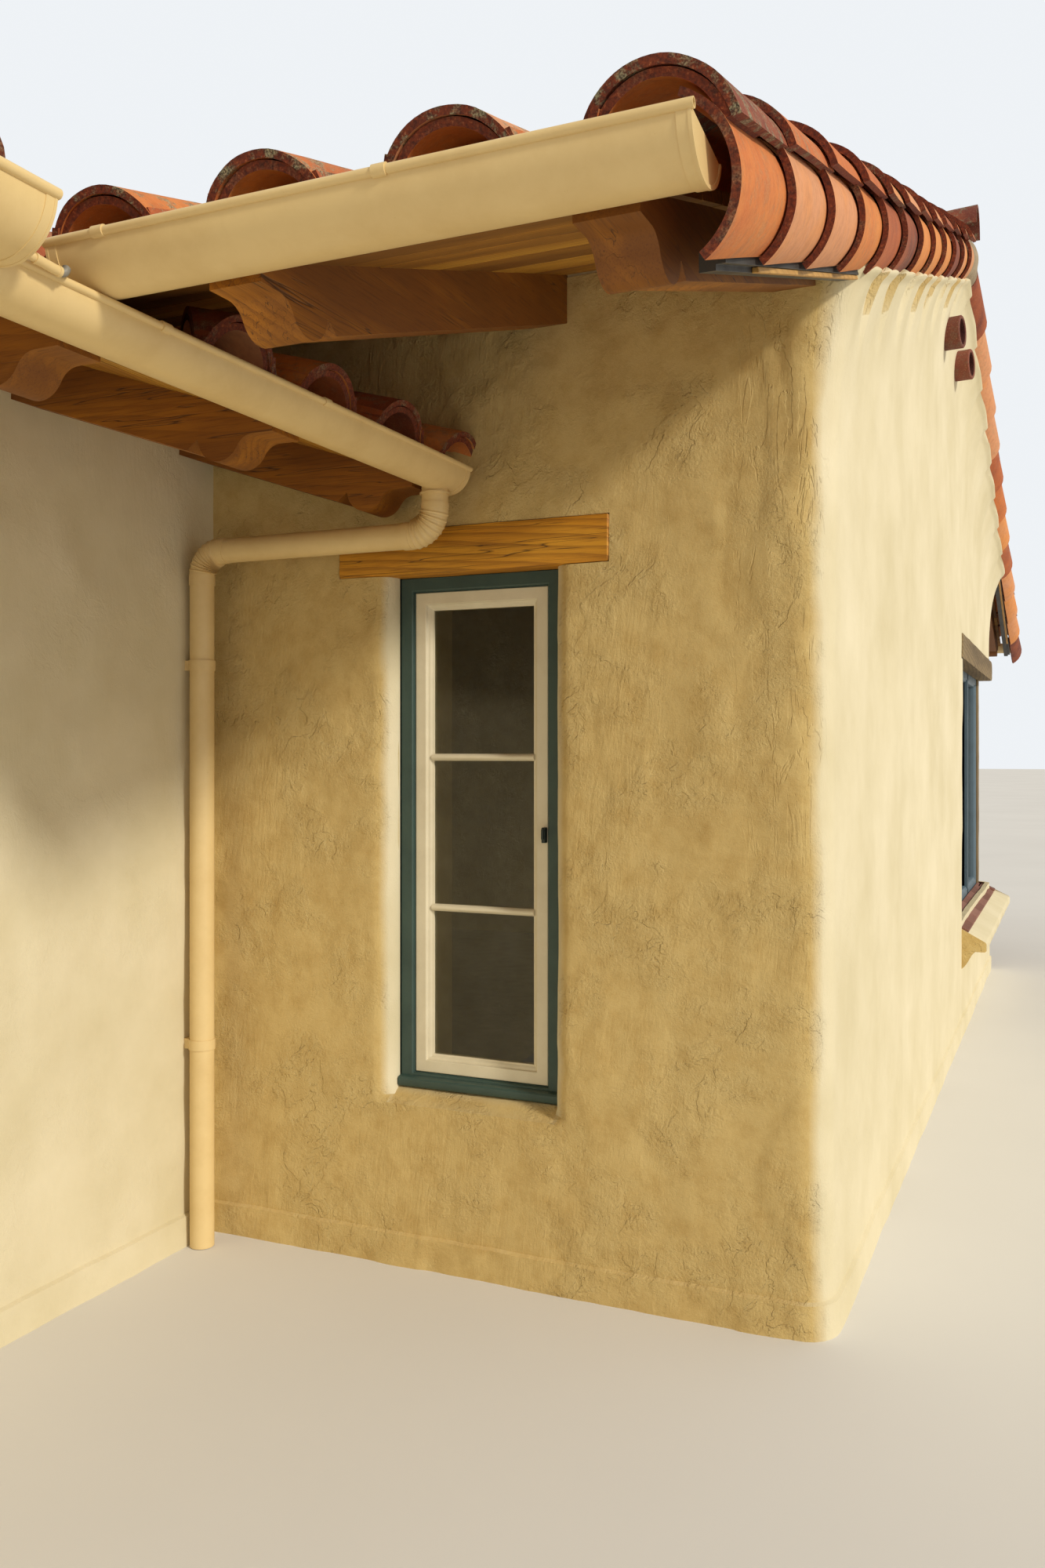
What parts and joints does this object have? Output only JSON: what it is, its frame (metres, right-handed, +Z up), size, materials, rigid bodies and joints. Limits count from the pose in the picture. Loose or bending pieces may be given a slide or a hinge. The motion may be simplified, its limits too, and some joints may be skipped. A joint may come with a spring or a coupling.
{
  "type": "adobe house with a clay tile roof",
  "caption": "Single-storey adobe house: a gabled main range with a lower wing in front, barrel tile roofs on scrolled rafters, half-round gutters and casement windows.",
  "frame": {"origin": "on the ground, where the middle of the wing meets the front face of the main range", "axes": "+X along the main range to its right gable as seen from the front, +Y from the front of the wing to the rear of the main range, +Z up"},
  "size_m": [8.362, 12.8493, 4.0724],
  "materials": {
    "stucco": "hand-trowelled, matte",
    "slab": "smooth, matte",
    "lintel_wood": "oiled, satin",
    "frame_paint": "painted, satin",
    "corner_paint": "painted, satin",
    "sash_paint": "painted, satin",
    "pane": "clear",
    "sill_clay": "sealed, satin",
    "door_wood": "oiled, satin",
    "roof_timber": "stained, matte",
    "boards": "stained, matte",
    "clay": "unglazed, matte",
    "mortar": "rough, matte",
    "vent_clay": "unglazed, matte",
    "gutter_paint": "satin",
    "thin_pipe": "satin"
  },
  "bodies": {
    "root": {"front_wall_right": "stucco", "front_wall_left": "stucco", "gable_wall_right": "stucco", "gable_wall_left": "stucco", "rear_wall": "stucco", "wing_wall_right": "stucco", "wing_wall_left": "stucco", "wing_front_wall": "stucco", "corner_sills": "stucco", "floor_slab": "slab", "lintels": "lintel_wood", "corner_lintels": "lintel_wood", "corner_posts": "lintel_wood", "window_frames": "frame_paint", "entry_frame": "frame_paint", "corner_frames": "corner_paint", "window_sashes": "sash_paint", "window_glass": "pane", "corner_glass": "pane", "sill_tiles": "sill_clay", "entry_door": "door_wood", "header_beam": "roof_timber", "ridge_beams": "roof_timber", "front_rafters": "roof_timber", "rear_rafters": "roof_timber", "link_rafters": "roof_timber", "wing_rafters": "roof_timber", "front_boards": "boards", "rear_boards": "boards", "wing_boards": "boards", "front_tiles": "clay", "rear_tiles": "clay", "link_tiles": "clay", "wing_tiles": "clay", "rake_tiles": "clay", "wing_rake_tiles": "clay", "ridge_tiles": "clay", "ridge_mortar": "mortar", "gable_vents": "vent_clay", "front_gutters": "gutter_paint", "rear_gutter": "gutter_paint", "link_gutters": "gutter_paint", "wing_gutters": "gutter_paint", "downspouts": "gutter_paint", "link_pipes": "thin_pipe"}
  },
  "joints": []
}
